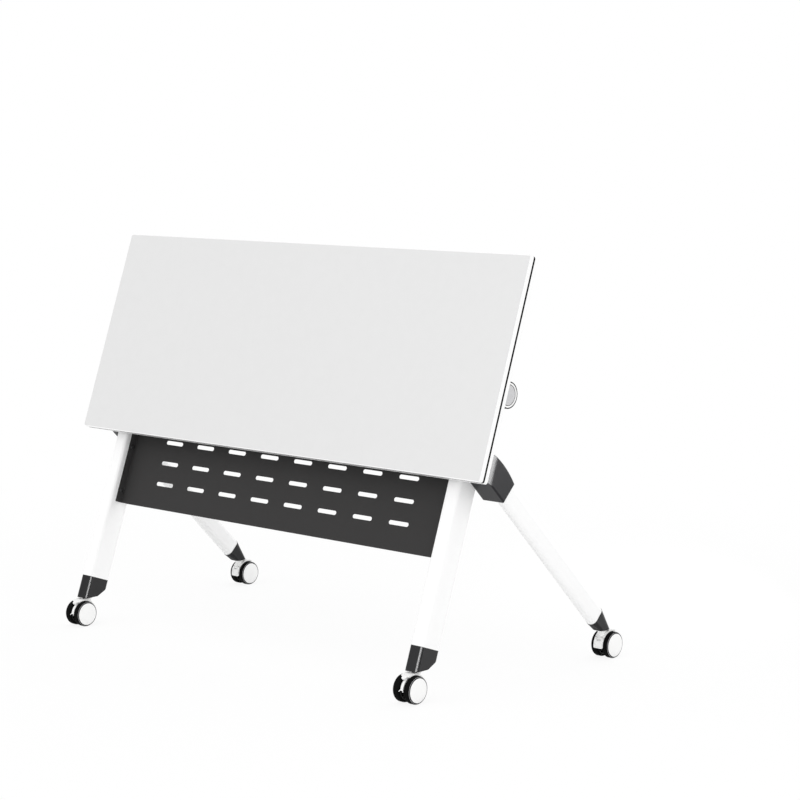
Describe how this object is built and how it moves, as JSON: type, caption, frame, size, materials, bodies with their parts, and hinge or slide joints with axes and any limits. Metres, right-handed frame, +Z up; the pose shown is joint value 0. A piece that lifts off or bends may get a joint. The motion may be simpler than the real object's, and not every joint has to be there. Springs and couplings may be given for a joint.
{
  "type": "folding training table",
  "caption": "Flip-top training table on locking casters, with a white top stored tilted upright, splayed white tube legs, black joints and a slotted dark modesty panel.",
  "frame": {"origin": "on the floor, in the middle of the table's outer box in its folded pose", "axes": "+X along the top's length, +Y to the user's side, +Z up"},
  "size_m": [1.4, 0.726, 1.0216],
  "materials": {
    "white_laminate": "matt white melamine faced board",
    "white_edge": "satin white edge band",
    "black_line": "matt black",
    "white_powder_coat": "fine white powder coat",
    "black_casting": "die cast, satin black lacquer",
    "black_boot": "glossy black moulding",
    "charcoal_sheet": "matt charcoal powder coat on steel sheet",
    "tyre_rubber": "black soft tread",
    "white_nylon": "white moulded nylon",
    "cap_silver": "turned satin aluminium",
    "bright_steel": "zinc plated",
    "grey_nylon": "self-lubricating bush",
    "black_rubber": "soft stop",
    "black_lever": "glass filled nylon",
    "zinc_plate": "black stove enamel"
  },
  "bodies": {
    "frame": {"cross_beam": "white_powder_coat", "modesty_panel": "charcoal_sheet", "head_screws": "bright_steel", "caster_stems": "bright_steel", "shoulder_bolts": "zinc_plate", "panel_bolts": "zinc_plate", "fold_bumpers": "black_rubber", "beam_end_cap_left": "cap_silver", "index_collar_left": "bright_steel", "leg_head_left": "black_casting", "front_leg_left": "white_powder_coat", "rear_leg_left": "white_powder_coat", "shoulder_left": "black_casting", "foot_socket_front_left": "black_boot", "foot_socket_rear_left": "black_boot", "beam_end_cap_right": "cap_silver", "index_collar_right": "bright_steel", "leg_head_right": "black_casting", "front_leg_right": "white_powder_coat", "rear_leg_right": "white_powder_coat", "shoulder_right": "black_casting", "foot_socket_front_right": "black_boot", "foot_socket_rear_right": "black_boot"},
    "flip_top": {"tabletop_board": "white_laminate", "edge_band": "white_edge", "edge_stripe": "black_line", "hinge_bushes": "grey_nylon", "lever_pins": "bright_steel", "wood_screws": "bright_steel", "cap_bolts": "bright_steel", "hinge_saddle_left": "black_casting", "hinge_cap_left": "black_casting", "lever_bracket_left": "zinc_plate", "leaf_spring_left": "bright_steel", "hinge_saddle_right": "black_casting", "hinge_cap_right": "black_casting", "lever_bracket_right": "zinc_plate", "leaf_spring_right": "bright_steel"},
    "lever_left": {"release_lever_left": "black_lever"},
    "lever_right": {"release_lever_right": "black_lever"},
    "caster_front_left": {"caster_housing_front_left": "white_nylon"},
    "wheels_front_left": {"caster_treads_front_left": "tyre_rubber", "caster_hubs_front_left": "white_nylon", "caster_axle_front_left": "bright_steel"},
    "pedal_front_left": {"brake_pedal_front_left": "white_nylon"},
    "caster_front_right": {"caster_housing_front_right": "white_nylon"},
    "wheels_front_right": {"caster_treads_front_right": "tyre_rubber", "caster_hubs_front_right": "white_nylon", "caster_axle_front_right": "bright_steel"},
    "pedal_front_right": {"brake_pedal_front_right": "white_nylon"},
    "caster_rear_left": {"caster_housing_rear_left": "white_nylon"},
    "wheels_rear_left": {"caster_treads_rear_left": "tyre_rubber", "caster_hubs_rear_left": "white_nylon", "caster_axle_rear_left": "bright_steel"},
    "pedal_rear_left": {"brake_pedal_rear_left": "white_nylon"},
    "caster_rear_right": {"caster_housing_rear_right": "white_nylon"},
    "wheels_rear_right": {"caster_treads_rear_right": "tyre_rubber", "caster_hubs_rear_right": "white_nylon", "caster_axle_rear_right": "bright_steel"},
    "pedal_rear_right": {"brake_pedal_rear_right": "white_nylon"}
  },
  "joints": [
    {"name": "top_flip", "type": "hinge", "parent": "frame", "child": "flip_top", "pos_m": [0, -0.08674, 0.698], "axis": [-1, 0, 0], "range_deg": [0, 70.4]},
    {"name": "lever_left_squeeze", "type": "hinge", "parent": "flip_top", "child": "lever_left", "pos_m": [-0.482, -0.08988, 0.74582], "axis": [1, 0, 0], "range_deg": [0, 10], "stiffness_Nm_per_rad": 1.5, "springref_deg": -17.19, "deforming": ["leaf_spring_left"]},
    {"name": "lever_right_squeeze", "type": "hinge", "parent": "flip_top", "child": "lever_right", "pos_m": [0.482, -0.08988, 0.74582], "axis": [1, 0, 0], "range_deg": [0, 10], "stiffness_Nm_per_rad": 1.5, "springref_deg": -17.19, "deforming": ["leaf_spring_right"]},
    {"name": "swivel_front_left", "type": "hinge", "parent": "frame", "child": "caster_front_left", "pos_m": [-0.588, -0.308, 0.06], "axis": [0, 0, 1], "continuous": true},
    {"name": "roll_front_left", "type": "hinge", "parent": "caster_front_left", "child": "wheels_front_left", "pos_m": [-0.588, -0.33, 0.033], "axis": [1, 0, 0], "continuous": true},
    {"name": "brake_front_left", "type": "hinge", "parent": "caster_front_left", "child": "pedal_front_left", "pos_m": [-0.588, -0.29865, 0.0511], "axis": [1, 0, 0], "range_deg": [0, 18]},
    {"name": "swivel_front_right", "type": "hinge", "parent": "frame", "child": "caster_front_right", "pos_m": [0.588, -0.308, 0.06], "axis": [0, 0, 1], "continuous": true},
    {"name": "roll_front_right", "type": "hinge", "parent": "caster_front_right", "child": "wheels_front_right", "pos_m": [0.588, -0.33, 0.033], "axis": [1, 0, 0], "continuous": true},
    {"name": "brake_front_right", "type": "hinge", "parent": "caster_front_right", "child": "pedal_front_right", "pos_m": [0.588, -0.29865, 0.0511], "axis": [1, 0, 0], "range_deg": [0, 18]},
    {"name": "swivel_rear_left", "type": "hinge", "parent": "frame", "child": "caster_rear_left", "pos_m": [-0.654, 0.308, 0.06], "axis": [0, 0, 1], "continuous": true},
    {"name": "roll_rear_left", "type": "hinge", "parent": "caster_rear_left", "child": "wheels_rear_left", "pos_m": [-0.654, 0.33, 0.033], "axis": [1, 0, 0], "continuous": true},
    {"name": "brake_rear_left", "type": "hinge", "parent": "caster_rear_left", "child": "pedal_rear_left", "pos_m": [-0.654, 0.29865, 0.0511], "axis": [-1, 0, 0], "range_deg": [0, 18]},
    {"name": "swivel_rear_right", "type": "hinge", "parent": "frame", "child": "caster_rear_right", "pos_m": [0.654, 0.308, 0.06], "axis": [0, 0, 1], "continuous": true},
    {"name": "roll_rear_right", "type": "hinge", "parent": "caster_rear_right", "child": "wheels_rear_right", "pos_m": [0.654, 0.33, 0.033], "axis": [1, 0, 0], "continuous": true},
    {"name": "brake_rear_right", "type": "hinge", "parent": "caster_rear_right", "child": "pedal_rear_right", "pos_m": [0.654, 0.29865, 0.0511], "axis": [-1, 0, 0], "range_deg": [0, 18]}
  ]
}
